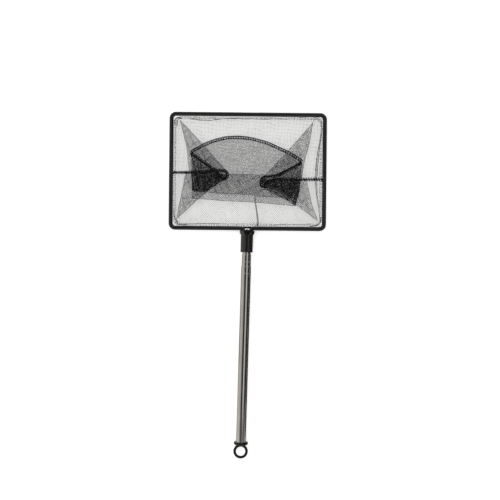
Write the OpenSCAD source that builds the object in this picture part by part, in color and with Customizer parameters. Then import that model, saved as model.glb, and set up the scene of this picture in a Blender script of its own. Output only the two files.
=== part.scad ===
/* [Rim] */
// Width over the coated rim
rim_w = 200; // [197:1:210]
// Height over the coated rim, from the socket side to the far side
rim_h = 150; // [147:1:160]
// Outer radius of the rim's corners
rim_corner = 8.3; // [7:0.1:12]
// Thickness over the coating
bar_d = 5.3; // [4.8:0.1:6.5]
// Diameter of the steel wire inside the coating
wire_d = 3.6; // [2.5:0.1:4]
// Lean of the rim against the handle, in degrees
rim_lean = 1.15; // [0:0.05:2]
// Distance of each wire tail from the handle's axis
tail_x = 4.9; // [4.8:0.05:5]
// Radius of the bend where the bar turns down into its tail
tail_bend = 3.4; // [3.2:0.1:4]
// Straight length of each bare tail
tail_l = 9.5; // [6:0.5:10]

/* [Net] */
// Width of the hem that runs round inside the rim
hem_w = 3.2; // [2:0.1:5]
// Thickness of the hem
hem_t = 1; // [0.6:0.1:1.4]
// Thickness of one folded layer of net
layer_t = 0.4; // [0.3:0.05:0.5]
// Number of gaps across the net
gaps_across = 12; // [6:1:12]
// Width of the netting between two gaps
gap_bar = 1.6; // [1:0.1:3]
// Width of the overlocked seam
seam_w = 3; // [2:0.1:3.5]
// Thickness of the overlocked seam
seam_t = 1.2; // [1:0.05:1.25]
// Distance between two stitches of the hem
stitch_pitch = 6; // [5:0.5:12]

/* [Socket] */
// Diameter over the ribs of the sleeve
sleeve_d = 15.5; // [15:0.1:18]
// Length of the ribbed sleeve
sleeve_l = 22.1; // [20:0.1:30]
// Diameter of the collar that carries the rim
collar_d = 19; // [18.6:0.1:22]
// Length of the collar, with its flare
collar_l = 5.4; // [5:0.1:5.5]
// Number of flutes round the sleeve
flutes = 18; // [8:1:20]
// Width of the collar's round tongue over the wire tails
tongue_d = 7.4; // [6:0.1:8]

/* [Handle] */
// Outer diameter of the outer tube
outer_d = 12.7; // [12.4:0.1:13]
// Outer diameter of the middle tube
middle_d = 11.8; // [11.7:0.02:11.84]
// Outer diameter of the inner tube
inner_d = 10.9; // [10.8:0.02:10.94]
// Wall of all three tubes
wall = 0.3; // [0.25:0.05:0.3]
// Length of the outer tube
outer_l = 222.7; // [215:0.1:300]
// Length of the middle tube that shows when the handle is closed
middle_show = 15.2; // [12:0.1:30]
// Length of the inner tube that shows when the handle is closed
inner_show = 2.5; // [2:0.1:20]

/* [End cap] */
// Diameter of the flange on the end of the handle
flange_d = 18.2; // [17:0.1:18.4]
// Thickness of the flange
flange_t = 3.6; // [3:0.1:6]
// Outer diameter of the hanging ring
ring_d = 18.5; // [17:0.1:24]
// Thickness of the hanging ring
ring_t = 3.42; // [3:0.02:4]
// Diameter of the hole in the hanging ring
ring_hole = 11.84; // [11.8:0.02:12]

/* [Hidden] */
$fn = 64;

// Y runs along the handle, with 0 at the outer tube's mouth and the rim on the plus side.
bar_r = bar_d / 2;
sleeve_y = middle_show + inner_show;
collar_y = sleeve_y + sleeve_l;
collar_top = collar_y + collar_l;
rim_y = collar_top + 0.3;
pocket_depth = 0.7;

// The rim's own frame has its origin in the middle of the rim.
half_w = rim_w / 2 - bar_r;
half_h = rim_h / 2 - bar_r;
bend_r = rim_corner - bar_r;
hem_out = bar_d;
hem_in = bar_d + hem_w;
flat_x = rim_w / 2 - bar_d - 0.7;
flat_y = rim_h / 2 - bar_d - 0.7;

// Where the whole object's box has its middle, so that it can stand on the origin.
lean_y = (rim_h / 2 - rim_corner) * cos(rim_lean) + (rim_w / 2 - rim_corner) * sin(rim_lean);
rim_mid = [-rim_h / 2 * sin(rim_lean), rim_y + rim_h / 2 * cos(rim_lean)];
top_y = rim_mid[1] + lean_y + rim_corner;
flange_y = -outer_l - flange_t;
ring_y = flange_y - ring_d / 2 + 0.5;
end_y = ring_y - ring_d / 2;
axis_x = -rim_mid[0];
axis_z = flange_d / 2;
shift_y = -(top_y + end_y) / 2;

// The tubes run in each other on a split bush at their lower ends.
slack = 0.02;
crimp_slack = 0.03;
crimp_w = 0.4;
mouth_l = 0.45;
outer_crimp = -8.9;
middle_crimp = middle_show - 9.5;
middle_end = -205;
inner_end = -191;
neck_depth = 0.2;
neck_from = 1.2;
neck_l = 11;
bush_l = 10.4;
bush_slot = 1.6;
tube_seat = 11;

// Layers of the folded bag, counted up from the flat layer.
layer_z = [for (i = [0:4]) -hem_t / 2 - layer_t + i * layer_t];
seam_lift = seam_t / 2;
seam_sides = 8;

// The side seams' line across the rim, from the left side to the right.
split_line = [[-flat_x, -2], [-28, 0], [18, -12], [flat_x, -9]];
far_fold_left = [[-86, 64], [-74, 4], [-29, 3]];
far_fold_right = [[84, 63], [68, -6], [24, -3]];
near_fold_left = [[-90, -61], [-79, -4], [-71, -36], [-61, -36]];
near_fold_right = [[89, -62], [75, -12], [62, -44]];
pouch = [[-73, 24], [-58, 33], [-40, 39], [-18, 43], [-4, 42], [10, 41], [23, 36], [44, 27], [58, 19],
    [70, 12], [61, -44], [-2, -40], [-60, -35], [-69, -35]];
pouch_lap = [[-69, -35], [-60, -35], [-2, -40], [61, -44], [61, -46], [-2, -42], [-60, -37], [-69, -37]];
left_flap = [[-73, 24], [-27, -11], [-54, -27], [-70, -31]];
right_flap = [[70, 12], [18, -12], [17, -20], [61, -44]];
seam_path = [
    [-90.8, -2, 0], [-62, 0, 0], [-45, 1, 0.4], [-30, 2, 2], [-25, -3, 2.4], [-27, -10, 2.6],
    [-34, -8, 3.3], [-42, 0, 3.8], [-60, 15, 3.8], [-72, 23, 2], [-58, 33, 2], [-40, 39, 2],
    [-18, 43, 2], [-4, 42, 2], [10, 41, 2], [23, 36, 2], [44, 27, 2], [58, 19, 2], [69, 12, 2],
    [56, 6, 3.8], [38, -3, 3.8], [22, -10, 3.4], [17, -15, 2.6], [20, -20, 2.4], [26, -15, 2.2],
    [45, -11, 1.4], [62, -10, 0.4], [90.8, -9, 0]];

module place() {
    translate([axis_x, shift_y, axis_z]) children();
}

module rim_frame() {
    place() translate([rim_mid[0], rim_mid[1], 0]) rotate(rim_lean) children();
}

// A round shape turned about the handle's axis, from its [radius, y] outline.
module turned(outline) {
    rotate([-90, 0, 0]) rotate_extrude() polygon(outline);
}

module along_y(r, from, to) {
    translate([0, from, 0]) rotate([-90, 0, 0]) cylinder(r = r, h = to - from);
}

module along_x(r, from, to) {
    translate([from, 0, 0]) rotate([0, 90, 0]) cylinder(r = r, h = to - from);
}

module quarter(bend, r) {
    rotate_extrude(angle = 90) translate([bend, 0]) circle(r);
}

// The rim's bar as a round rod of radius r, with straight tails of length tail.
module rod(r, tail) {
    near_gap = tail_x + tail_bend;
    translate([0, half_h, 0]) along_x(r, -half_w + bend_r, half_w - bend_r);
    for (side = [0, 1]) mirror([side, 0, 0]) {
        translate([half_w, 0, 0]) along_y(r, -half_h + bend_r, half_h - bend_r);
        translate([half_w - bend_r, half_h - bend_r, 0]) quarter(bend_r, r);
        translate([half_w - bend_r, -half_h + bend_r, 0]) rotate(-90) quarter(bend_r, r);
        translate([0, -half_h, 0]) along_x(r, near_gap, half_w - bend_r);
        translate([near_gap, -half_h - tail_bend, 0]) rotate(90) quarter(tail_bend, r);
        if (tail > 0)
            translate([tail_x, 0, 0]) along_y(r, -half_h - tail_bend - tail, -half_h - tail_bend);
    }
}

module rim_wire() {
    color("silver") rim_frame() rod(wire_d / 2, tail_l);
}

module rim_coating() {
    color([0.1, 0.1, 0.11]) rim_frame() difference() {
        rod(bar_r, 0);
        rod(wire_d / 2, 1);
    }
}

// A flat rectangle inset from the rim's outside, with rounded corners.
module inset_outline(inset, r) {
    w = rim_w / 2 - inset;
    h = rim_h / 2 - inset;
    square([2 * (w - r), 2 * h], center = true);
    square([2 * w, 2 * (h - r)], center = true);
    for (x = [-1, 1], y = [-1, 1]) translate([x * (w - r), y * (h - r)]) circle(r);
}

module net_hem() {
    color([0.3, 0.3, 0.31]) rim_frame() translate([0, 0, -hem_t / 2]) difference() {
        linear_extrude(hem_t) inset_outline(hem_out, rim_corner - bar_d);
        translate([0, 0, -1]) linear_extrude(hem_t + 2) inset_outline(hem_in, 0.6);
    }
}

module stitch_row(length) {
    count = floor(length / stitch_pitch);
    for (i = [0:count - 1])
        translate([(i - (count - 1) / 2) * stitch_pitch, 0, 0.2])
            cube([stitch_pitch * 0.6, 0.6, 0.4], center = true);
}

module hem_stitches() {
    inset = hem_in - 0.8;
    long_side = rim_w - 2 * hem_in;
    short_side = rim_h - 2 * hem_in;
    color([0.05, 0.05, 0.05]) rim_frame() translate([0, 0, hem_t / 2]) for (side = [0, 180]) rotate(side) {
        translate([0, rim_h / 2 - inset, 0]) stitch_row(long_side - 4);
        translate([rim_w / 2 - inset, 0, 0]) rotate(90) stitch_row(short_side - 4);
    }
}

module layer(level, outline, thick = 1) {
    translate([0, 0, layer_z[level]]) linear_extrude(layer_t * thick) polygon(outline);
}

// The gaps of the net, in line through all its layers but left out under the thick flaps.
module gaps() {
    pitch_x = 2 * (rim_w / 2 - hem_in) / gaps_across;
    gaps_down = round(2 * (rim_h / 2 - hem_in) / pitch_x);
    pitch_y = 2 * (rim_h / 2 - hem_in) / gaps_down;
    translate([0, 0, layer_z[0] - 1]) linear_extrude(5 * layer_t + 2) difference() {
        for (i = [0:gaps_across - 1], j = [0:gaps_down - 1])
            translate([(i + 0.5 - gaps_across / 2) * pitch_x, (j + 0.5 - gaps_down / 2) * pitch_y])
                square([pitch_x - gap_bar, pitch_y - gap_bar], center = true);
        polygon(left_flap);
        polygon(right_flap);
    }
}

// The far half of the bag: flat under the far side of the rim, then folded back under the pouch.
module net_far_panel() {
    color([0.35, 0.35, 0.36]) rim_frame() difference() {
        union() {
            layer(0, concat(split_line, [[flat_x, flat_y - 1], [flat_x - 1, flat_y],
                [1 - flat_x, flat_y], [-flat_x, flat_y - 1]]));
            layer(1, far_fold_left);
            layer(1, far_fold_right);
            layer(1, pouch);
        }
        gaps();
    }
}

// The near half: flat by the socket, then up over the far half to the curved seam.
module net_near_panel() {
    color([0.28, 0.28, 0.29]) rim_frame() difference() {
        union() {
            layer(0, concat(split_line, [[flat_x, 1 - flat_y], [flat_x - 1, -flat_y],
                [1 - flat_x, -flat_y], [-flat_x, 1 - flat_y]]));
            difference() {
                union() {
                    layer(1, near_fold_left);
                    layer(1, near_fold_right);
                }
                layer(1, pouch);
            }
            layer(1, pouch_lap, 2);
            layer(2, pouch);
            layer(3, left_flap);
            layer(3, right_flap);
        }
        gaps();
    }
}

// The overlocked seam as one flattened tube along its path, each point [x, y, layers below it].
function seam_point(i) = [seam_path[i][0], seam_path[i][1],
    layer_z[1] + seam_path[i][2] * layer_t + seam_lift];
function seam_side(i) =
    let (a = seam_point(max(i - 1, 0)), b = seam_point(min(i + 1, len(seam_path) - 1)),
        d = [b[0] - a[0], b[1] - a[1]]) [-d[1], d[0]] / norm(d);

module bag_seam() {
    last = len(seam_path) - 1;
    points = [for (i = [0:last], k = [0:seam_sides - 1])
        let (p = seam_point(i), s = seam_side(i), a = 360 * k / seam_sides)
            [p[0] + s[0] * cos(a) * seam_w / 2, p[1] + s[1] * cos(a) * seam_w / 2,
                p[2] + sin(a) * seam_t / 2]];
    walls = [for (i = [0:last - 1], k = [0:seam_sides - 1])
        let (a = i * seam_sides + k, b = i * seam_sides + (k + 1) % seam_sides)
            each [[a, b, b + seam_sides], [a, b + seam_sides, a + seam_sides]]];
    ends = [[for (k = [seam_sides - 1:-1:0]) k], [for (k = [0:seam_sides - 1]) last * seam_sides + k]];
    color([0.08, 0.08, 0.08]) rim_frame() polyhedron(points, concat(walls, ends));
}

// A round tongue on the collar's front, with a button that stands in its dished face.
module tongue() {
    face = flange_d / 2 - 1.1;
    difference() {
        translate([0, 0, 3.5]) cylinder(d = tongue_d, h = face - 3.5);
        translate([0, 0, face - 0.3]) cylinder(d = tongue_d - 1, h = 1);
    }
    translate([0, 0, face - 1]) cylinder(d1 = tongue_d - 2.2, d2 = tongue_d - 3.6, h = 1.8);
}

module socket() {
    r = sleeve_d / 2;
    flare = collar_d / 2 - r;
    tongue_y = collar_top + 1.4 - tongue_d / 2;
    color([0.13, 0.13, 0.14]) place() difference() {
        union() {
            difference() {
                turned([[0, sleeve_y], [r - 0.5, sleeve_y], [r, sleeve_y + 0.5], [r, collar_y], [0, collar_y]]);
                for (i = [0:flutes - 1])
                    rotate([0, 90 + (i + 0.5) * 360 / flutes, 0])
                        translate([r + 0.3, 0, 0]) along_y(0.65, sleeve_y - 1, collar_y - 0.8);
            }
            difference() {
                intersection() {
                    turned([[0, collar_y - 0.5], [r, collar_y - 0.5], [r, collar_y],
                        [r + flare * 0.35, collar_y + 0.6], [r + flare * 0.75, collar_y + 1.7],
                        [r + flare * 0.95, collar_y + 2.8], [r + flare, collar_y + 3.8],
                        [r + flare, collar_top - 0.4], [r + flare - 0.4, collar_top], [0, collar_top]]);
                    translate([-collar_d, collar_y - 1, -flange_d / 2])
                        cube([2 * collar_d, collar_l + 2, flange_d]);
                }
                translate([0, tongue_y, flange_d / 2 - 1.1]) cylinder(d = tongue_d, h = 2);
            }
            translate([0, tongue_y, 0]) tongue();
        }
        translate([-8.1, collar_top - pocket_depth, -3.1]) cube([16.2, 2, 6.2]);
        along_y(inner_d / 2, sleeve_y - 1, sleeve_y + tube_seat);
        translate([rim_mid[0], rim_mid[1], 0]) rotate(rim_lean)
            for (x = [-1, 1]) translate([x * tail_x, 0, 0])
                along_y(wire_d / 2, -half_h - tail_bend - tail_l - 0.2, -half_h);
    }
    color([0.13, 0.13, 0.14]) place() {
        along_y(1.9, collar_top - pocket_depth, collar_top - 0.3);
        translate([0, collar_top - 0.3, 0]) sphere(1.9);
    }
}

// A drawn tube with a rolled crimp below its mouth and, on the sliding ones, a neck for the bush.
module tube(d, from, to, crimp, crimp_r, neck) {
    r = d / 2;
    sunk = crimp_r + wall;
    mouth = crimp_r > 0
        ? [[r, crimp - crimp_w], [sunk, crimp - crimp_w / 4], [sunk, crimp + crimp_w / 4], [r, crimp + crimp_w]]
        : [];
    mouth_in = crimp_r > 0
        ? [[r - wall, crimp + crimp_w], [crimp_r, crimp + crimp_w / 4], [crimp_r, crimp - crimp_w / 4],
            [r - wall, crimp - crimp_w]]
        : [];
    foot = neck
        ? [[r, from], [r, from + neck_from - 0.2], [r - neck_depth, from + neck_from],
            [r - neck_depth, from + neck_from + neck_l], [r, from + neck_from + neck_l + 0.2]]
        : [[r, from]];
    foot_in = neck
        ? [[r - wall, from + neck_from + neck_l + 0.2], [r - wall - neck_depth, from + neck_from + neck_l],
            [r - wall - neck_depth, from + neck_from], [r - wall, from + neck_from - 0.2], [r - wall, from]]
        : [[r - wall, from]];
    lip = [[r, to - mouth_l], [r - wall * 0.7, to], [r - wall, to]];
    place() turned(concat(foot, mouth, lip, mouth_in, foot_in));
}

// A split brass bush: it rides with the tube that it sits on and rubs in the tube round it.
module bush(on_d, in_r, foot) {
    inside = on_d / 2 - neck_depth + slack;
    from = foot + neck_from + (neck_l - bush_l) / 2;
    color([0.8, 0.65, 0.3]) place() difference() {
        along_y(in_r - slack, from, from + bush_l);
        along_y(inside, from - 1, from + bush_l + 1);
        translate([-bush_slot / 2, from - 1, 0]) cube([bush_slot, bush_l + 2, on_d]);
    }
}

module inner_tube() {
    color([0.8, 0.8, 0.8]) tube(inner_d, inner_end, sleeve_y + tube_seat, 0, 0, true);
}

module inner_bush() {
    bush(inner_d, middle_d / 2 - wall, inner_end);
}

module middle_tube() {
    color([0.76, 0.76, 0.77])
        tube(middle_d, middle_end, middle_show, middle_crimp, inner_d / 2 + crimp_slack, true);
}

module middle_bush() {
    bush(middle_d, outer_d / 2 - wall, middle_end);
}

module outer_tube() {
    color([0.72, 0.72, 0.74])
        tube(outer_d, -outer_l, 0, outer_crimp, middle_d / 2 + crimp_slack, false);
}

module end_cap() {
    edge = flange_t / 2;
    color([0.1, 0.1, 0.11]) place() {
        along_y(outer_d / 2 - wall, -outer_l - 1, -outer_l + 12);
        along_y(flange_d / 2 - edge, flange_y, -outer_l);
        translate([0, flange_y + edge, 0]) rotate([90, 0, 0])
            rotate_extrude() translate([flange_d / 2 - edge, 0]) circle(edge);
        difference() {
            union() {
                translate([0, ring_y, 0]) rotate_extrude()
                    translate([(ring_d - ring_t) / 2, 0]) circle(ring_t / 2);
                translate([-5, flange_y - 1.8, -ring_t / 2]) cube([10, 2, ring_t]);
            }
            translate([0, ring_y, -5]) cylinder(d = ring_hole, h = 10);
        }
    }
}

rim_wire();
rim_coating();
net_hem();
hem_stitches();
net_far_panel();
net_near_panel();
bag_seam();
socket();
inner_tube();
inner_bush();
middle_tube();
middle_bush();
outer_tube();
end_cap();
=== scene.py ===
# A hand net with a telescopic handle, dressed round its CAD model.
# Metres, in the CAD's own frame: the handle runs along Y, and the rim lies level above the floor.
import math
import random

import bpy
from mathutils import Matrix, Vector


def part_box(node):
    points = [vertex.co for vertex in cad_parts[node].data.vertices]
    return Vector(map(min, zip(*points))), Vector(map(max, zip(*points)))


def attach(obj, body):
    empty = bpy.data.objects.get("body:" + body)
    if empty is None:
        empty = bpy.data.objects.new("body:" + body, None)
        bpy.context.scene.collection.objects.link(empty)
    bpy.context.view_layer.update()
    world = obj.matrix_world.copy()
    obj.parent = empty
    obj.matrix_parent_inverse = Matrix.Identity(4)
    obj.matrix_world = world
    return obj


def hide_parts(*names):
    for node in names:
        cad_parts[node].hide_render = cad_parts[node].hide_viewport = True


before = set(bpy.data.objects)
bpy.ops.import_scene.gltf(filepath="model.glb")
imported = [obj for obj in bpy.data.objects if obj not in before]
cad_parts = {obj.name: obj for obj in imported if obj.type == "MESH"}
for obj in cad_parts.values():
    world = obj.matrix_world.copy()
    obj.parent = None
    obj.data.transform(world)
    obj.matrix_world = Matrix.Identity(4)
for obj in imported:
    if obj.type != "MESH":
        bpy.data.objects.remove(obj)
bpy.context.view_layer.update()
mm = 0.001
random.seed(7)


# small helpers

def deselectAll():
    for item in bpy.context.selected_objects:
        item.select_set(False)


def middleOf(node):
    low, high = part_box(node)
    return [(a + b) / 2 for a, b in zip(low, high)]


def hexColour(code):
    # sRGB hex to the linear colour that a shader takes
    parts = [int(code[i:i + 2], 16) / 255 for i in (1, 3, 5)]
    return [c / 12.92 if c <= 0.04045 else ((c + 0.055) / 1.055) ** 2.4 for c in parts] + [1]


def addNode(tree, kind, inputs=None, **settings):
    # a socket given as an input is linked, and anything else is its value
    node = tree.nodes.new(kind)
    for name, value in settings.items():
        setattr(node, name, value)
    for name, value in (inputs or {}).items():
        if isinstance(value, bpy.types.NodeSocket):
            tree.links.new(value, node.inputs[name])
        else:
            node.inputs[name].default_value = value
    return node


def addRamp(tree, factor, stops):
    # stops are (position, linear grey or colour)
    ramp = addNode(tree, "ShaderNodeValToRGB", {"Fac": factor})
    elements = ramp.color_ramp.elements
    while len(elements) < len(stops):
        elements.new(0.5)
    for element, (position, colour) in zip(elements, stops):
        element.position = position
        element.color = colour if len(colour) == 4 else (*colour, 1)
    return ramp.outputs["Color"]


def newMaterial(name, **sockets):
    material = bpy.data.materials.new(name)
    material.use_nodes = True
    tree = material.node_tree
    shader = tree.nodes["Principled BSDF"]
    for socket, value in sockets.items():
        shader.inputs[socket.replace("_", " ")].default_value = value
    return material, tree, shader


def objectPlace(tree, scale=(1, 1, 1)):
    place = addNode(tree, "ShaderNodeTexCoord").outputs["Object"]
    return addNode(tree, "ShaderNodeMapping", {"Vector": place, "Scale": scale}).outputs[0]


# the camera looks straight down on the net, turned a little in its own plane

camera = {"lens": 50, "sensor": 36, "x": 5.86, "y": 44.3, "z": 891.1, "roll": 1.71}    # mm and degrees


def makeCamera():
    data = bpy.data.cameras.new("camera")
    data.lens = camera["lens"]
    data.sensor_width = camera["sensor"]
    item = bpy.data.objects.new("camera", data)
    item.location = [camera[axis] * mm for axis in "xyz"]
    item.rotation_euler = (0, 0, math.radians(camera["roll"]))
    bpy.context.collection.objects.link(item)
    bpy.context.scene.camera = item


makeCamera()
bpy.context.scene.view_settings.view_transform = "Standard"
print("camera made")


# studio: soft even light, a large soft lamp, and the cards and gaps that metal and gloss mirror

studio = {
    "sky": 0.68,                      # even light from all round
    "lampWidth": 0.9, "lampPlace": (-0.2, 0.15, 1.2),    # metres
    "lampPower": 4.8,                 # watts
    "floor": "#f0f0ee", "floorGlow": 0.45, "floorSize": 6.0,
    "endFrom": 0.38, "endTo": 0.62,   # how far a mirrored ray leans along the handle where plain grey takes over
    "endGrey": (0.6, 0.6, 0.59),
    "footFrom": 0.2, "footTo": 0.265,    # the same towards the foot, where the softer cards take over
    "stripNear": 10, "stripFar": 300,    # mm from the handle's middle
    "stripEnds": (-260, 240), "stripLift": 0.6,
}
# what stands round the object across the handle: degrees from overhead, and how bright
studioCards = [
    (-150, (0.7, 0.66, 0.6)), (-88, (0.76, 0.72, 0.66)), (-60, (0.6, 0.59, 0.57)), (-48, (0.62, 0.62, 0.61)),
    (-37, (0.46, 0.46, 0.46)), (-27, (0.1, 0.095, 0.09)), (-6, (0.03, 0.028, 0.028)), (7, (0.05, 0.05, 0.05)),
    (16, (0.9, 0.9, 0.9)), (27, (0.8, 0.8, 0.79)), (38, (0.3, 0.29, 0.28)), (52, (0.07, 0.065, 0.06)),
    (66, (0.02, 0.018, 0.015)), (110, (0.02, 0.018, 0.015))]
footCards = [
    (-150, (0.8, 0.76, 0.7)), (-88, (0.92, 0.87, 0.8)), (-74, (0.83, 0.8, 0.76)), (-60, (0.7, 0.68, 0.66)),
    (-47, (0.57, 0.57, 0.57)), (-35, (0.38, 0.38, 0.39)), (-23, (0.19, 0.2, 0.21)), (-11, (0.08, 0.08, 0.08)),
    (0, (0.12, 0.12, 0.13)), (23, (0.24, 0.26, 0.28)), (35, (0.29, 0.29, 0.29)), (50, (0.22, 0.21, 0.2)),
    (74, (0.27, 0.24, 0.22)), (110, (0.33, 0.28, 0.25))]


def makeWorld():
    # white to the camera and through anything clear, the cards to mirrored rays, and an even sky to all others
    world = bpy.data.worlds.new("studio")
    bpy.context.scene.world = world
    world.use_nodes = True
    tree = world.node_tree
    ray = addNode(tree, "ShaderNodeLightPath")
    way = addNode(tree, "ShaderNodeTexCoord").outputs["Generated"]
    parts = addNode(tree, "ShaderNodeSeparateXYZ", {0: way})
    across = addNode(tree, "ShaderNodeMath", {0: parts.outputs["X"], 1: parts.outputs["Z"]}, operation="ARCTAN2")
    turn = addNode(tree, "ShaderNodeMath", {0: across.outputs[0], 1: 1 / math.tau, 2: 0.5},
                   operation="MULTIPLY_ADD")
    body, foot = (addRamp(tree, turn.outputs[0], [(0.5 + a / 360, c) for a, c in cards])
                  for cards in (studioCards, footCards))
    down = addNode(tree, "ShaderNodeMath", {0: parts.outputs["Y"], 1: -1.0}, operation="MULTIPLY")
    low = addNode(tree, "ShaderNodeMapRange", {"Value": down.outputs[0], "From Min": studio["footFrom"],
                                               "From Max": studio["footTo"]}, interpolation_type="SMOOTHSTEP")
    cards = addNode(tree, "ShaderNodeMix", {"Factor": low.outputs[0], 6: body, 7: foot},
                    data_type="RGBA").outputs[2]
    along = addNode(tree, "ShaderNodeMath", {0: parts.outputs["Y"]}, operation="ABSOLUTE")
    end = addNode(tree, "ShaderNodeMapRange", {"Value": along.outputs[0], "From Min": studio["endFrom"],
                                               "From Max": studio["endTo"]}, interpolation_type="SMOOTHSTEP")
    mirrored = addNode(tree, "ShaderNodeMix", {"Factor": end.outputs[0], 6: cards, 7: (*studio["endGrey"], 1)},
                       data_type="RGBA")
    sky = (studio["sky"],) * 3 + (1,)
    seen = addNode(tree, "ShaderNodeMix", {"Factor": ray.outputs["Is Glossy Ray"], 6: sky,
                                           7: mirrored.outputs[2]}, data_type="RGBA")
    through = addNode(tree, "ShaderNodeMath", {0: ray.outputs["Is Camera Ray"],
                                               1: ray.outputs["Is Transmission Ray"]}, operation="MAXIMUM")
    shown = addNode(tree, "ShaderNodeMix", {"Factor": through.outputs[0], 6: seen.outputs[2], 7: (1, 1, 1, 1)},
                    data_type="RGBA")
    tree.links.new(shown.outputs[2], tree.nodes["Background"].inputs["Color"])
    world.cycles.sampling_method = "NONE"    # so that soft gloss shows the cards too


def makeLamp():
    data = bpy.data.lights.new("softbox", "AREA")
    data.size = studio["lampWidth"]
    data.energy = studio["lampPower"]
    item = bpy.data.objects.new("softbox", data)
    item.location = studio["lampPlace"]
    item.rotation_euler = (-Vector(studio["lampPlace"])).to_track_quat("-Z", "Y").to_euler()
    item.visible_camera = False
    item.visible_glossy = False
    bpy.context.collection.objects.link(item)


def makeFloor():
    bpy.ops.mesh.primitive_plane_add(size=studio["floorSize"], location=(0, 0, 0))
    floor = bpy.context.object
    floor.name = "studio_floor"
    material, tree, shader = newMaterial("matt paper sweep", Roughness=1.0, Specular_IOR_Level=0.0)
    shader.inputs["Base Color"].default_value = hexColour(studio["floor"])
    # it glows to the rays that look at it, and lights nothing
    ray = addNode(tree, "ShaderNodeLightPath")
    seen = ray.outputs["Is Camera Ray"]
    for other in ("Is Glossy Ray", "Is Transmission Ray"):
        seen = addNode(tree, "ShaderNodeMath", {0: seen, 1: ray.outputs[other]}, operation="MAXIMUM").outputs[0]
    glow = addNode(tree, "ShaderNodeMath", {0: seen, 1: studio["floorGlow"]}, operation="MULTIPLY")
    shader.inputs["Emission Color"].default_value = (1, 1, 1, 1)
    tree.links.new(glow.outputs[0], shader.inputs["Emission Strength"])
    floor.data.materials.append(material)


def makeStrip(name, side, stops):
    # a broad strip of card on the floor beside the handle; only chrome and gloss mirror it
    near, far = studio["stripNear"], studio["stripFar"]
    low, high = studio["stripEnds"]
    bpy.ops.mesh.primitive_plane_add(size=1, location=(
        side * (near + far) / 2 * mm + middleOf("outer_tube")[0], (low + high) / 2 * mm,
        studio["stripLift"] * mm))
    strip = bpy.context.object
    strip.name = name
    strip.scale = ((far - near) * mm, (high - low) * mm, 1)
    bpy.ops.object.transform_apply(location=True, rotation=True, scale=True)
    material, tree, shader = newMaterial(name, Roughness=1.0, Specular_IOR_Level=0.0, Emission_Strength=1.0)
    shader.inputs["Base Color"].default_value = (0, 0, 0, 1)
    place = addNode(tree, "ShaderNodeSeparateXYZ", {0: objectPlace(tree)})
    up = addNode(tree, "ShaderNodeMapRange", {"Value": place.outputs["Y"], "From Min": low * mm,
                                              "From Max": high * mm})
    tree.links.new(addRamp(tree, up.outputs[0], [((y - low) / (high - low), c) for y, c in stops]),
                   shader.inputs["Emission Color"])
    strip.data.materials.append(material)
    strip.visible_camera = False
    strip.visible_diffuse = False
    strip.visible_shadow = False
    strip.visible_transmission = False


makeWorld()
makeLamp()
makeFloor()
# how bright, at places along the handle in mm
makeStrip("grey_strip", -1, [(-200, (0.62, 0.59, 0.53)), (-150, (0.62, 0.59, 0.53)), (-90, (0.42, 0.4, 0.36)),
                             (-20, (0.5, 0.48, 0.44)), (40, (0.55, 0.53, 0.49))])
makeStrip("black_strip", 1, [(-205, (0.4, 0.34, 0.31)), (-193, (0.05, 0.047, 0.045))])
print("studio made")


# materials

noiseLow, noiseHigh = 0.3, 0.7        # nearly all of a noise lies between these
waveLength = 0.3                      # of a slanting wave at scale 1, about


def noiseAt(tree, vector, size, detail=2):
    # size is the width of a blotch in mm
    return addNode(tree, "ShaderNodeTexNoise", {"Vector": vector, "Scale": 1 / (size * mm), "Detail": detail})


def bumpFrom(tree, shader, height, depth, under=None):
    # depth is in mm, and under is a bump that this one lies on
    inputs = {"Height": height, "Distance": depth * mm, "Strength": 1.0}
    if under is not None:
        inputs["Normal"] = under
    bump = addNode(tree, "ShaderNodeBump", inputs)
    tree.links.new(bump.outputs[0], shader.inputs["Normal"])
    return bump.outputs[0]


def mapTo(tree, value, low, high):
    return addNode(tree, "ShaderNodeMapRange", {"Value": value, "From Min": noiseLow, "From Max": noiseHigh,
                                                "To Min": low, "To Max": high}).outputs[0]


def blendColours(tree, factor, dark, light):
    return addNode(tree, "ShaderNodeMix", {"Factor": factor, 6: hexColour(dark), 7: hexColour(light)},
                   data_type="RGBA").outputs[2]


def chromedSteel():
    # bright chrome on drawn tube: mirror stripes along it, broken by faint draw lines and finger marks;
    # the draw lines are finer in life, and are drawn 0.25 mm wide so that they show
    material, tree, shader = newMaterial("chromed drawn steel", Metallic=1.0)
    lines = noiseAt(tree, objectPlace(tree, (1, 0.012, 1)), 0.25, 1)
    marks = noiseAt(tree, objectPlace(tree, (1, 0.4, 1)), 7, 4)
    tree.links.new(blendColours(tree, mapTo(tree, marks.outputs["Fac"], 0, 1), "#bfbcb7", "#cbc9c4"),
                   shader.inputs["Base Color"])
    rough = addNode(tree, "ShaderNodeMath", {0: mapTo(tree, lines.outputs["Fac"], 0.03, 0.07),
                                             1: mapTo(tree, marks.outputs["Fac"], 0.0, 0.05)}, operation="ADD")
    tree.links.new(rough.outputs[0], shader.inputs["Roughness"])
    waves = noiseAt(tree, objectPlace(tree, (1, 0.25, 1)), 6, 1)
    soft = bumpFrom(tree, shader, waves.outputs["Fac"], 0.03)
    bumpFrom(tree, shader, lines.outputs["Fac"], 0.002, soft)
    return material


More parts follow.
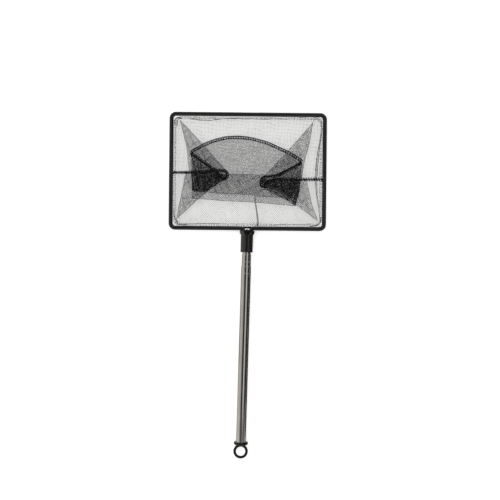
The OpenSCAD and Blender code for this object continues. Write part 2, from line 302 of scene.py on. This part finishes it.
def dippedVinyl():
    # PVC dipped over wire: deep black with a wet gloss, a faint orange peel and dull handling scuffs
    material, tree, shader = newMaterial("dipped black vinyl", Specular_IOR_Level=0.1, Coat_Weight=1.0,
                                         Coat_Roughness=0.06, Coat_IOR=1.56)
    scuffs = noiseAt(tree, objectPlace(tree), 9, 5)
    tree.links.new(blendColours(tree, mapTo(tree, scuffs.outputs["Fac"], 0, 1), "#070708", "#101113"),
                   shader.inputs["Base Color"])
    tree.links.new(mapTo(tree, scuffs.outputs["Fac"], 0.28, 0.42), shader.inputs["Roughness"])
    peel = noiseAt(tree, objectPlace(tree), 1.6, 2)
    bumpFrom(tree, shader, peel.outputs["Fac"], 0.02)
    return material


def mouldedPlastic(name, dark, light, rough, shine):
    # injection moulded polypropylene: even black, soft gloss, a spark-eroded grain, drawn coarser than
    # its real 0.05 mm so that it shows
    material, tree, shader = newMaterial(name, IOR=1.49, Specular_IOR_Level=shine)
    cloud = noiseAt(tree, objectPlace(tree), 5, 3)
    tree.links.new(blendColours(tree, mapTo(tree, cloud.outputs["Fac"], 0, 1), dark, light),
                   shader.inputs["Base Color"])
    tree.links.new(mapTo(tree, cloud.outputs["Fac"], rough - 0.05, rough + 0.06), shader.inputs["Roughness"])
    grain = noiseAt(tree, objectPlace(tree), 0.35, 2)
    bumpFrom(tree, shader, grain.outputs["Fac"], 0.002)
    return material


def twistedThread(name, dark, light, twist):
    # spun polyester: matt black with a soft sheen, and the slant of its twist, a turn every so many mm; its colour
    # carries painted shade, lighter on the raised plies and darker in the grooves between them
    material, tree, shader = newMaterial(name, Roughness=0.62, Specular_IOR_Level=0.15, Sheen_Weight=0.04,
                                         Sheen_Roughness=0.4)
    slant = addNode(tree, "ShaderNodeTexWave", {"Vector": objectPlace(tree), "Scale": waveLength / (twist * mm),
                                                "Distortion": 2.0, "Detail": 1.0}, bands_direction="DIAGONAL")
    # painted shade: the wave that raises the plies also darkens the grooves between them and lightens the plies
    tree.links.new(blendColours(tree, slant.outputs["Fac"], dark, light), shader.inputs["Base Color"])
    bumpFrom(tree, shader, slant.outputs["Fac"], 0.03)
    return material


def plainMetal(name, dark, light, rough):
    # hidden metal: drawn wire and rolled brass, dull and faintly streaked
    material, tree, shader = newMaterial(name, Metallic=1.0)
    streaks = noiseAt(tree, objectPlace(tree, (1, 0.1, 1)), 0.8, 3)
    tree.links.new(blendColours(tree, streaks.outputs["Fac"], dark, light), shader.inputs["Base Color"])
    tree.links.new(mapTo(tree, streaks.outputs["Fac"], rough, rough + 0.15), shader.inputs["Roughness"])
    return material


steel = chromedSteel()
vinyl = dippedVinyl()
socketPlastic = mouldedPlastic("moulded socket polypropylene", "#070708", "#0e0e10", 0.15, 1.0)
capPlastic = mouldedPlastic("moulded cap polypropylene", "#070707", "#0c0c0d", 0.24, 0.35)
netYarn = twistedThread("knitted polyester net yarn", "#060607", "#101012", 0.5)
sewingThread = twistedThread("spun polyester sewing thread", "#060607", "#121214", 0.6)
wireSteel = plainMetal("galvanised wire", "#8f9193", "#a8abad", 0.35)
brass = plainMetal("rolled brass", "#b08d4a", "#c9a862", 0.28)


def dress(node, material):
    item = bpy.data.objects[node]
    for slot in item.material_slots:
        slot.material = material


for tube in ("outer_tube", "middle_tube", "inner_tube"):
    dress(tube, steel)
for bush in ("middle_bush", "inner_bush"):
    dress(bush, brass)
dress("rim_wire", wireSteel)
dress("rim_coating", vinyl)
dress("socket", socketPlastic)
dress("end_cap", capPlastic)
print("materials made")


# the net: real yarn, laid line by line in every folded layer; mm in the rim's own flat frame

rim = {
    "lean": 1.15,                     # degrees against the handle
    "width": 200, "height": 150,      # over the coating
    "bar": 5.3, "hem": 3.2,
    "corner": 3.0,                    # radius of the coating's inner corners
    "clothIn": 0.7,                   # from the coating to the edge of the cloth
}
rimMiddle = middleOf("net_hem")
leanCos, leanSin = math.cos(math.radians(rim["lean"])), math.sin(math.radians(rim["lean"]))


def atRim(x, y, z):
    return (rimMiddle[0] + (x * leanCos - y * leanSin) * mm,
            rimMiddle[1] + (x * leanSin + y * leanCos) * mm,
            rimMiddle[2] + z * mm)


def newThread(wide, high, sides=4):
    # a curve that gives every run laid in it one level section, an oval or, with four sides, a full oblong
    outline = bpy.data.curves.new("section", "CURVE")
    outline.dimensions = "2D"
    ring = outline.splines.new("POLY")
    ring.points.add(sides - 1)
    ring.use_cyclic_u = True
    grow = math.sqrt(2) if sides == 4 else 1
    for k, point in enumerate(ring.points):
        angle = -(k + 0.5) * math.tau / sides    # clockwise, which turns the faces outwards
        point.co = (math.cos(angle) * wide / 2 * grow * mm, math.sin(angle) * high / 2 * grow * mm, 0, 1)
    section = bpy.data.objects.new("section", outline)
    bpy.context.collection.objects.link(section)
    thread = bpy.data.curves.new("thread", "CURVE")
    thread.dimensions = "3D"
    thread.twist_mode = "Z_UP"
    thread.use_fill_caps = True
    thread.bevel_mode = "OBJECT"
    thread.bevel_object = section
    return thread


def layRun(thread, run, size=1, closed=False):
    # one stretch of thread through points (x, y, z) in mm
    spline = thread.splines.new("POLY")
    spline.points.add(len(run) - 1)
    spline.points.foreach_set("co", [value for point in run for value in (*atRim(*point), 1)])
    spline.points.foreach_set("radius", [size] * len(run))
    spline.use_cyclic_u = closed


def finishThreads(name, threads, material, smooth=False):
    # turns the threads' curves into one mesh of closed runs
    deselectAll()
    for thread in threads:
        item = bpy.data.objects.new(name, thread)
        bpy.context.collection.objects.link(item)
        item.select_set(True)
    bpy.context.view_layer.objects.active = item
    bpy.ops.object.convert(target="MESH")
    if len(threads) > 1:
        bpy.ops.object.join()
    item = bpy.context.object
    item.name = name
    bpy.ops.object.mode_set(mode="EDIT")
    bpy.ops.mesh.select_all(action="SELECT")
    bpy.ops.mesh.remove_doubles(threshold=0.0001 * mm)    # joins the end caps
    bpy.ops.object.mode_set(mode="OBJECT")
    for thread in threads:
        bpy.data.objects.remove(thread.bevel_object)
        bpy.data.curves.remove(thread)
    item.data.materials.clear()
    item.data.materials.append(material)
    if smooth:
        bpy.ops.object.shade_smooth_by_angle(angle=math.radians(60))
    return item


net = {
    # the real mesh is too fine to show, about 1 mm at a guess, so it is drawn as coarse as it needs to show
    "pitch": 1.75,                    # between two yarns
    "yarnWide": 0.22, "yarnHigh": 0.16,
    "step": 5.0,                      # along a yarn from point to point
    "shortest": 0.6,                  # a cut end under this is left out
    "over": 0.04,                     # how far one set of yarns lies above or below the middle of its layer
    "sway": 0.4, "foldSway": 0.8,     # how far a yarn wanders from its line, lying flat and folded
    "billow": 0.35,                   # how far the cloth rises and falls
    "taut": 20,                       # how far in from the rim it billows fully
    "lowest": -0.85, "levelGap": 0.15,
    "creaseWide": 0.4, "creaseHigh": 0.3, "creaseLevel": 6, "creaseStep": 4,
}
innerX = rim["width"] / 2 - rim["bar"] - rim["clothIn"]
innerY = rim["height"] / 2 - rim["bar"] - rim["clothIn"]

# fold lines, each outline running round its layer
splitLine = [(-innerX, -2), (-28, 0), (18, -12), (innerX, -9)]
arcLine = [(-72.6, 23.5), (-57.8, 32.1), (-43.7, 38.1), (-27.5, 42.1), (-14, 43), (0, 42), (12.6, 39.3),
           (25.6, 35.6), (38.6, 29.8), (51.6, 24.1), (61.4, 18.4), (68.6, 13.3)]
bottomFold = [(61.3, -43.2), (39.3, -41.4), (19.8, -39.7), (0.4, -38.5), (-30, -37.6), (-59.8, -35.3),
              (-69.9, -35.4)]
innerFold = [(-48.8, -26.8), (-39, -28), (-21.6, -28.8), (0.3, -29.4), (25, -32), (41.8, -32.4), (55, -39)]
farFlat = splitLine + [(innerX, innerY - 6), (innerX - 1.8, innerY - 1.8), (innerX - 6, innerY),
                       (6 - innerX, innerY), (1.8 - innerX, innerY - 1.8), (-innerX, innerY - 6)]
nearFlat = splitLine + [(x, -y) for x, y in farFlat[4:]]
farLeftWedge = [(-86.3, 64), (-58.5, 34.7), (-25.5, -2), (-74, -1.3), (-77.6, 30)]
farRightWedge = [(82, 62.3), (77.5, 34.8), (71.8, 13.9), (68.5, -9), (18, -10.5), (22.7, -4.7), (50.9, 26.7),
                 (64.4, 41.7)]
nearLeftWedge = [(-90, -61.5), (-62.4, -35), (-47.6, -23.6), (-27.5, -10), (-29, -1.5), (-79, -2)]
nearRightWedge = [(89.4, -61.7), (62.6, -42), (41.8, -32.2), (17.5, -20), (17, -11), (74.3, -9.5), (82, -42.3)]
pouch = arcLine + [(67.5, -8), (65, -26.3)] + bottomFold + [(-71, -1.7)]
centreTuck = [(-24, -3.5), (0, -4), (22.7, -4.4), (16, -12), (18, -20)] + innerFold[5:2:-1] + [
    (-21.6, -28.8), (-39, -28), (-48.8, -26.8), (-34, -13), (-26, -10)]
leftUpper = [(-72.5, 22.5), (-42, 1.2), (-71.3, -0.5)]
leftFlap = [(-71, -1.2), (-36, -0.5), (-34.5, -3.8), (-26.5, -4), (-25.8, -8), (-28, -11), (-33.4, -13),
            (-53.4, -26.8), (-67.6, -26.3), (-70.3, -23.7)]
rightUpper = [(68.3, 12), (38.2, -4.5), (30, -8.5), (67.6, -9)]
rightFlap = [(24, -9.7), (67.5, -9), (65, -28.9), (62.5, -37.5), (54.9, -33.3), (44.8, -26.4), (28, -21.5),
             (20, -20), (18.4, -17), (18.4, -12), (20.4, -9.8)]
rightSkirt = [(28, -21.5), (44.8, -26.4), (54.9, -33.3), (62.5, -37.5), (61.2, -43), (53.7, -37.9), (47.3, -33.6),
              (37.1, -29.8), (20, -20)]
rightPleat = [(94, 55), (88.7, 27), (86.5, 10.5), (85.2, -8.5), (88, -8.5), (89.2, 10.5), (90.6, 27)]
rightPleatNear = [(85.6, -9.8), (87.6, -30), (90.4, -46), (92.5, -60), (89.6, -30), (88, -9.8)]
centrePleat = [(9.2, -31.5), (9.2, -38.6), (11, -49.6), (12.3, -61.2), (11.8, -69), (14.4, -69),
               (14.2, -61.2), (12.4, -49.6), (10.4, -38.6), (10.2, -31.5)]

# each stack: its outline, the first level it lies on, how its layers' yarns are turned,
# how far its yarns close up in bunches as a share of the pitch, and how thick they are drawn, which sets
# its tone: a real net has one yarn
farStacks = [
    (farFlat, 0, [3], 0.03, 1), (farLeftWedge, 1, [-43, 25], 0.5, 1), (farRightWedge, 1, [22, -16], 0.38, 1),
    (pouch, 3, [-17], 0.1, 0.8), (leftUpper, 5, [31, 22, 38], 0.5, 0.92), (leftFlap, 5, [25, -20, 7], 0.38, 1),
    (rightUpper, 5, [-40, -30, -48], 0.5, 0.78), (rightFlap, 5, [-28, 17, 3], 0.38, 1),
    (rightPleat, 1, [12, -14], 0.1, 1)]
nearStacks = [
    (nearFlat, 0, [41], 0.03, 1.05), (nearLeftWedge, 1, [22, -34], 0.4, 1),
    (nearRightWedge, 1, [24, 60], 0.4, 0.93), (pouch, 4, [19], 0.1, 0.8), (centreTuck, 5, [34, 26], 0.5, 0.82),
    (leftFlap, 8, [44, 12, -33, 22], 0.38, 1), (rightFlap, 8, [-41, 28, -14, 9], 0.38, 1),
    (rightSkirt, 8, [-36, -29, -22], 0.45, 1), (rightPleatNear, 1, [15, -18], 0.1, 1),
    (centrePleat, 1, [12, 35, -20], 0.1, 1)]
# lines where a fold closes the yarns up
farCreases = [
    [(-86.3, 64), (-58.5, 34.7), (-25.5, -2)], [(-86.3, 64), (-77.6, 30), (-74, -1.3)],
    [(82, 62.3), (64.4, 41.7), (50.9, 26.7), (22.7, -4.7)], [(82, 62.3), (77.5, 34.8), (71.8, 13.9), (68.5, -9)],
    [(94, 55), (88.7, 27), (86.5, 10.5), (85.2, -8.5)], [(94, 55), (90.6, 27), (89.2, 10.5), (88, -8.5)],
    [(-76, 66.5), (-62, 64.6), (-48, 64.2), (-30, 66.6)]]
nearCreases = [
    [(-90, -61.5), (-62.4, -35), (-47.6, -23.6), (-33.4, -13)], [(-90, -61.5), (-79, -6)],
    [(-78.6, -6), (-72.2, -22)], [(89.4, -61.7), (62.6, -42), (41.8, -32.2), (19.6, -20.3)],
    [(20, -20), (37.1, -29.8), (47.3, -33.6), (53.7, -37.9), (61.2, -43)],
    [(89.4, -61.7), (82, -42.3), (74.3, -9.8)], [(72.1, -12.5), (66, -24)], bottomFold,
    innerFold[:-1], [(-24, -3.5), (0, -4), (22.7, -4.4)], [(-71, -1.7), (-69.9, -35.4)],
    [(68.3, 12), (67.5, -8), (65, -26.3), (61.3, -43.2)],
    [(9.2, -31.5), (9.2, -38.6), (11.2, -49.6), (12.6, -61.2), (12.4, -69)],
    [(10.2, -31.5), (10.4, -38.6), (12.4, -49.6), (14, -61.2), (14.2, -69)], [(7.6, -64.3), (9.2, -67.8)],
    [(85.6, -9.8), (87.6, -30), (90.4, -46), (92.5, -60)]]


def heightAt(x, y, level):
    # a layer's own height and the slow waves of the cloth, which is held level at the rim
    edge = min(innerX - abs(x), innerY - abs(y))
    loose = min(1, max(0, edge) / net["taut"])
    wave = math.sin(x / 17 + 0.6) * math.cos(y / 13 - 0.4) + 0.5 * math.sin((x + y) / 8)
    return net["lowest"] + level * net["levelGap"] + net["billow"] * loose * wave


def crossings(outline, cosTurn, sinTurn, offset):
    # where a straight line at this offset enters and leaves the outline
    hits = []
    for (ax, ay), (bx, by) in zip(outline, outline[1:] + outline[:1]):
        a, b = ay * cosTurn - ax * sinTurn - offset, by * cosTurn - bx * sinTurn - offset
        if (a > 0) != (b > 0):
            t = a / (a - b)
            hits.append((ax + (bx - ax) * t) * cosTurn + (ay + (by - ay) * t) * sinTurn)
    hits.sort()
    return zip(hits[::2], hits[1::2])


def layYarns(yarn, outline, turn, level, bunching, size):
    # both sets of yarns of one layer: parallel lines cut to the outline, each wandering a little with its
    # neighbours, and closing up with them in bunches that come and go
    pitch = net["pitch"]
    sway = net["foldSway"] if level else net["sway"]
    for family in (0, 1):
        angle = math.radians(turn + 90 * family)
        c, s = math.cos(angle), math.sin(angle)
        offsets = [y * c - x * s for x, y in outline]
        phase = random.random() * pitch
        for n in range(math.floor(min(offsets) / pitch), math.ceil(max(offsets) / pitch) + 1):
            offset = n * pitch + phase
            bunch = 1.3 * n + 1.1 * math.sin(0.45 * n + turn)
            for start, end in crossings(outline, c, s, offset):
                if end - start < net["shortest"]:
                    continue
                count = max(1, round((end - start) / net["step"]))
                run = []
                for i in range(count + 1):
                    t = start + (end - start) * i / count
                    x, y = t * c - offset * s, t * s + offset * c
                    drift = sway * math.sin(math.pi * i / count) * (
                        math.sin(x / 3.1 + y / 7 + level) + math.cos(y / 4.3 - x / 11 + turn))
                    drift += bunching * pitch * math.sin(bunch + t / 11)
                    x, y = x - drift * s, y + drift * c
                    run.append((x, y, heightAt(x, y, level) + (net["over"] if family else -net["over"])))
                layRun(yarn, run, size)


def smoothLine(points, step):
    # a Catmull-Rom line through the points, each point any number of coordinates
    line = []
    last = len(points) - 1
    for i in range(last):
        a, b, c, d = points[max(i - 1, 0)], points[i], points[i + 1], points[min(i + 2, last)]
        count = max(1, round(math.dist(b[:2], c[:2]) / step))
        for n in range(count):
            t = n / count
            line.append(tuple(0.5 * (2 * q + (r - p) * t + (2 * p - 5 * q + 4 * r - u) * t * t
                                     + (3 * q - p - 3 * r + u) * t ** 3) for p, q, r, u in zip(a, b, c, d)))
    return line + [tuple(points[-1])]


def straightLine(points, step):
    # a line through the points with corners, cut up so that it can follow the cloth
    line = []
    for (ax, ay), (bx, by) in zip(points, points[1:]):
        count = max(1, round(math.hypot(bx - ax, by - ay) / step))
        line += [(ax + (bx - ax) * i / count, ay + (by - ay) * i / count) for i in range(count)]
    return line + [points[-1]]


def areaOf(outline):
    return abs(sum(ax * by - bx * ay for (ax, ay), (bx, by) in zip(outline, outline[1:] + outline[:1]))) / 2


def makeNet(name, stacks, creases):
    yarn = newThread(net["yarnWide"], net["yarnHigh"])
    cloth = 0
    for outline, level, turns, bunching, size in stacks:
        for i, turn in enumerate(turns):
            layYarns(yarn, outline, turn, level + i, bunching, size)
            cloth += areaOf(outline)
    bunched = newThread(net["creaseWide"], net["creaseHigh"])
    for points in creases:
        layRun(bunched, [(x, y, heightAt(x, y, net["creaseLevel"]))
                         for x, y in straightLine(points, net["creaseStep"])])
    item = finishThreads(name, [yarn, bunched], netYarn)
    print(name, "of", round(cloth / 100), "cm2 of cloth,", len(item.data.polygons), "faces")
    return item


farNet = makeNet("far_net", farStacks, farCreases)
nearNet = makeNet("near_net", nearStacks, nearCreases)
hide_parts("net_far_panel")
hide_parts("net_near_panel")
for item in (farNet, nearNet):
    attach(item, "net_head")


# hem: the net turned over a narrow band all round, stitched down inside and laced to the coating

hem = {
    "in": 0.05, "round": 8,           # its outer edge: in from the coating, and the radius of its corners
    "half": 0.38,                     # its two sides lie this far above and below the rim's middle
    "yarnWide": 0.22, "yarnHigh": 0.16,
    "crossPitch": 3.5, "crossThick": 0.7, "fray": 0.5, "skew": 0.7,
    "lines": (1.1, 3.1), "lineStep": 3, "lineSway": 0.2,    # yarns along it, in from its outer edge
    "rollWide": 0.4, "rollHigh": 0.3, "rollUp": 0.45, "rollStep": 2.5,
    "stitchPitch": 6, "stitchLong": 3.7, "stitchIn": 2.4, "stitchRound": 6.8, "stitchThick": 0.2,
    "stitchStep": 0.6, "stitchRise": 0.28, "stitchSunk": 0.1,
    "lacePitch": 2.9, "laceWide": 0.8, "laceHigh": 0.45,
    "laceSlant": 0.5, "laceSize": (0.7, 1.1),
    "laceTurns": (20, 38, 52),        # degrees up the flank of the coating
    "lashTurns": range(-1, 4), "lashIn": 1.2, "lashPitch": 0.5, "lashUp": 0.5,
    "lashAcross": (-5.2, -3.5, -1.2, 1.2, 3.5, 5.2),
}
# where the turned edge rolls up in the corners and along the long sides, and how thick
hemRolls = [
    (3, [(-93.2, 59), (-92.9, 64.3), (-91.6, 66.6), (-89.6, 67.6), (-87.4, 67.2), (-84, 66.2)]),
    (2, [(-85.6, 67.4), (-87.8, 66.2), (-89, 65), (-89.8, 63.2), (-90.4, 56)]),
    (1.2, [(80.5, 60.5), (82.5, 64), (85, 66.8), (89, 67.6), (91.5, 65.5), (93, 61), (93.6, 50)]),
    (1.2, [(64, 69.2), (80, 68.6), (88, 69.6), (92.5, 67.4), (93.8, 62)]),
    (1.2, [(-93.6, -48), (-92.8, -58), (-90.5, -63), (-88, -66), (-82, -67.6), (-60, -67), (-34, -66.2)]),
    (2.6, [(-92.8, -57), (-91.4, -61), (-89.6, -63.6), (-87.8, -64.6), (-89.4, -65.4), (-91.8, -66.2),
           (-89, -67.6), (-84, -68.5), (-76, -68.6)]),
    (3.2, [(93.6, -57), (93.2, -61.5), (92.2, -64.8), (90, -67), (86.6, -68.2), (80, -69)]),
    (1, [(28, -68.8), (46, -66.8), (66, -66.6), (84, -65.6)]),
    (1, [(-72, 66.4), (-60, 64.8), (-48, 64.6), (-36, 66.2), (-10, 67.2), (14, 66.6), (44, 67.4)]),
]


def rimLine(inset, radius, step):
    # points and inward normals round a rectangle inset from the rim's outside, with rounded corners
    w, h = rim["width"] / 2 - inset - radius, rim["height"] / 2 - inset - radius
    line = []
    for turn, (cx, cy) in enumerate([(w, h), (-w, h), (-w, -h), (w, -h)]):
        arcSteps = max(2, round(radius * math.pi / 2 / step))
        for i in range(arcSteps + 1):
            angle = math.pi / 2 * (turn + i / arcSteps)
            c, s = math.cos(angle), math.sin(angle)
            line.append((cx + radius * c, cy + radius * s, -c, -s))
        side = 2 * (h if turn % 2 else w)
        sideSteps = max(2, round(side / step))
        x, y = line[-1][:2]
        for i in range(1, sideSteps):
            far = side * i / sideSteps
            line.append((x - s * far, y + c * far, -c, -s))
    return line


def makeHem():
    yarn = newThread(hem["yarnWide"], hem["yarnHigh"])
    rolled = newThread(hem["rollWide"], hem["rollHigh"], 6)
    # short yarns across the band, each cut at its own length, on both of its sides
    for x, y, nx, ny in rimLine(rim["bar"] + hem["in"], hem["round"], hem["crossPitch"]):
        for z in (hem["half"], -hem["half"]):
            long = rim["hem"] + hem["fray"] * (random.random() - 0.5)
            lean = (random.random() - 0.5) * hem["skew"]
            layRun(yarn, [(x + nx * t * long - ny * lean * t, y + ny * t * long + nx * lean * t,
                           z * (1 - 0.25 * t * t) + 0.08 * math.sin(9 * t + x)) for t in (0, 0.5, 1)],
                   hem["crossThick"])
    # long yarns all round it, thicker towards its free edge
    for inset in hem["lines"]:
        for z in (hem["half"], -hem["half"]):
            run = []
            line = rimLine(rim["bar"] + inset, hem["round"] - inset * 0.5, hem["lineStep"])
            for i, (x, y, nx, ny) in enumerate(line):
                wave = math.sin(i * 0.7 + inset)
                run.append((x + nx * hem["lineSway"] * wave, y + ny * hem["lineSway"] * wave,
                            z * (1 - 0.02 * inset * inset)))
            layRun(yarn, run, 0.5 + 0.12 * inset, closed=True)
    for size, points in hemRolls:
        layRun(rolled, [(x, y, hem["rollUp"] + 0.1 * math.sin(x)) for x, y in smoothLine(points, hem["rollStep"])],
               size)
    return finishThreads("hem_band", [yarn, rolled], netYarn)


def makeStitches():
    stitch = newThread(hem["stitchThick"], hem["stitchThick"], 6)
    lace = newThread(hem["laceWide"], hem["laceHigh"], 6)
    line = rimLine(rim["bar"] + hem["stitchIn"], hem["stitchRound"], hem["stitchStep"])
    perStitch = round(hem["stitchPitch"] / hem["stitchStep"])
    long = round(hem["stitchLong"] / hem["stitchStep"])
    for start in range(0, len(line) - long, perStitch):
        layRun(stitch, [(x, y, hem["half"] + hem["stitchRise"] * math.sin(math.pi * i / long) - hem["stitchSunk"])
                        for i, (x, y, nx, ny) in enumerate(line[start:start + long + 1])])
    # the lacing comes up out of the hem and over the coating's inner flank, except on the far side
    barR = rim["bar"] / 2 + hem["laceHigh"] * 0.2
    for x, y, nx, ny in rimLine(rim["bar"], rim["corner"], hem["lacePitch"]):
        if ny < -0.9:
            continue
        slant = random.uniform(-hem["laceSlant"], hem["laceSlant"])
        size = random.uniform(*hem["laceSize"])
        run = [(size, hem["half"]), (0.5 * size, hem["half"] + 0.25)]
        for degrees in hem["laceTurns"]:
            angle = math.radians(degrees)
            run.append((barR * math.cos(angle) - rim["bar"] / 2, barR * math.sin(angle)))
        layRun(lace, [(x + nx * t - ny * slant * t, y + ny * t + nx * slant * t, z) for t, z in run], size)
    # and a lashing closes the gap between the two wire tails, its turns thinner one after another
    for k in hem["lashTurns"]:
        y = rim["bar"] - rim["height"] / 2 - hem["lashIn"] - hem["lashPitch"] * k
        layRun(lace, [(x, y + 0.15 * math.sin(x + k), hem["lashUp"] + 0.2 * math.cos(x / 3 + k))
                      for x in hem["lashAcross"]], 0.9 - 0.1 * k)
    return finishThreads("hem_stitching", [stitch, lace], sewingThread, smooth=True)


hemBand = makeHem()
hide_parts("net_hem")
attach(hemBand, "net_head")
stitching = makeStitches()
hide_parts("hem_stitches")
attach(stitching, "net_head")
print("hem made")


# overlocked seam: two cords of thread with loops thrown over the cloth between them

seam = {
    "step": 1.3,                      # along a cord from point to point
    "railHigh": 0.9, "railWobble": 0.15, "edgeHigh": 0.6, "edgeWobble": 0.25,
    "wrapPitch": 1.45, "wrapThick": 0.5, "wrapShift": 0.15, "wrapSkew": 0.4, "wrapUp": 0.12,
    "loopHigh": 0.5, "loopSlant": (0.15, 0.45), "loopSize": (0.75, 1.2),
    # how high a loop lies at each share of its reach
    "loopArch": ((0, 0.15), (0.23, 0.32), (0.56, 0.32), (0.82, 0.28), (1, 0.05)),
    # each kind: both cords' width and distance from the middle, then the loops' width, pitch and reach
    "open": {"rail": (1.25, 1.4), "edge": (1.2, 1.3), "loop": (1.75, 3.15, -1.5, 2.2)},
    "dense": {"rail": (2.3, 1.5), "edge": (1.0, 0.8), "loop": (1.8, 3.15, -1.8, 1.5)},
    "drawn": {"rail": (1.5, 0.1), "edge": (0.5, 1.6), "loop": (1.8, 3.15, -1.9, 2.3)},
    "beaded": {"rail": (1.1, 0.0), "edge": (0.4, 1.5), "loop": (1.8, 3.15, -2.3, 2.3)},
}
# x, y, height, and on which side of the way along it the loops lie
seamLine = [
    (-95, -2.5, 0, 1), (-74, -2.0, 0.1, 1), (-60, -0.5, 0.5, 1), (-45, 0.8, 0.6, 1), (-32, 1.7, 0.6, 1),
    (-26.6, -0.6, 0.7, 1), (-25.2, -5, 0.8, 1), (-26.4, -9.6, 0.9, 1), (-30.4, -10.4, 1.0, 1),
    (-34.4, -7, 1.1, -1), (-38.4, -2, 1.1, -1), (-43, 2.4, 1.2, -1), (-50, 7.8, 1.2, -1), (-58, 13.4, 1.2, -1),
    (-66, 19, 1.1, -1), (-72.4, 23.4, 0.9, -1)]
arcSeam = [(x, y, 0.5, -1) for x, y in arcLine]
rightSeam = [
    (68.8, 11.2, 0.9, 1), (61.7, 6.9, 1.1, 1), (54.7, 3.2, 1.2, 1), (46.7, -1.0, 1.2, 1), (38.9, -4.9, 1.2, 1),
    (30.5, -7.2, 1.1, 1), (24, -7.4, 1.0, 1), (19.6, -8.6, 0.9, 1), (17.6, -12.4, 0.9, 1), (17.8, -16.8, 0.9, 1),
    (20.2, -18.4, 0.8, 1), (24.2, -15.6, 0.8, -1), (30, -12, 0.7, -1), (45, -10, 0.6, -1), (62, -9.5, 0.4, -1),
    (78, -9.3, 0.1, -1), (95, -9.2, 0, -1)]


def along(line, pitch):
    # points every pitch along a line, with the way it runs
    found = []
    left = pitch / 2
    for a, b in zip(line, line[1:]):
        length = math.dist(a[:2], b[:2])
        while left <= length:
            t = left / length
            point = [p + (q - p) * t for p, q in zip(a, b)]
            found.append((*point, (b[0] - a[0]) / length, (b[1] - a[1]) / length))
            left += pitch
        left -= length
    return found


def beside(line, out, wobble):
    # a line at a distance from the seam's middle, on the side that each point tells
    found = []
    for i, (x, y, z, side) in enumerate(line):
        before, after = line[max(i - 1, 0)], line[min(i + 1, len(line) - 1)]
        dx, dy = after[0] - before[0], after[1] - before[1]
        length = math.hypot(dx, dy) or 1
        far = -out * max(-1, min(1, side)) + wobble * math.sin(i * 2.1)
        found.append((x - dy / length * far, y + dx / length * far, z + 0.05 * math.sin(i * 1.7)))
    return found


def layOverlock(points, kind):
    # two cords, the loops thrown between them, and the turns wound round the outer cord
    railWide, railOut = seam[kind]["rail"]
    edgeWide, edgeIn = seam[kind]["edge"]
    loopWide, loopPitch, loopFrom, loopTo = seam[kind]["loop"]
    line = smoothLine(points, seam["step"])
    rail = newThread(railWide, seam["railHigh"], 8)
    edge = newThread(edgeWide, seam["edgeHigh"], 6)
    loops = newThread(loopWide, seam["loopHigh"], 6)
    wraps = newThread(seam["wrapThick"], seam["wrapThick"], 5)
    layRun(rail, beside(line, railOut, seam["railWobble"]))
    layRun(edge, beside(line, -edgeIn, seam["edgeWobble"]))
    for x, y, z, side, dx, dy in along(line, loopPitch):
        side = 1 if side > 0 else -1
        slant = random.uniform(*seam["loopSlant"])
        run = []
        for t, lift in seam["loopArch"]:
            reach = loopFrom + (loopTo - loopFrom) * t
            out, ahead = reach * side, slant * reach
            run.append((x + dx * ahead - dy * out, y + dy * ahead + dx * out, z + lift))
        layRun(loops, run, random.uniform(*seam["loopSize"]))
    for x, y, z, side, dx, dy in along(line, seam["wrapPitch"]):
        side = 1 if side > 0 else -1
        shift = random.uniform(-seam["wrapShift"], seam["wrapShift"])
        run = []
        for t in (-1, -0.45, 0.45, 1):
            out = (t * railWide * 0.6 - railOut) * side
            ahead = shift + t * seam["wrapSkew"]
            high = seam["railHigh"] / 2 * math.sqrt(max(0, 1 - t * t)) + seam["wrapUp"]
            run.append((x + dx * ahead - dy * out, y + dy * ahead + dx * out, z + high))
        layRun(wraps, run)
    return [rail, edge, loops, wraps]


def makeSeam():
    # its whole way is laid stretch by stretch, each in the kind that it is sewn and folded in
    threads = layOverlock(seamLine[:3], "drawn") + layOverlock(seamLine[2:], "dense")
    threads += layOverlock(arcSeam, "open")
    threads += layOverlock(rightSeam[:-3], "dense") + layOverlock(rightSeam[-4:], "beaded")
    return finishThreads("overlocked_seam", threads, sewingThread, smooth=True)


overlock = makeSeam()
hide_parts("bag_seam")
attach(overlock, "net_head")
print("net made")
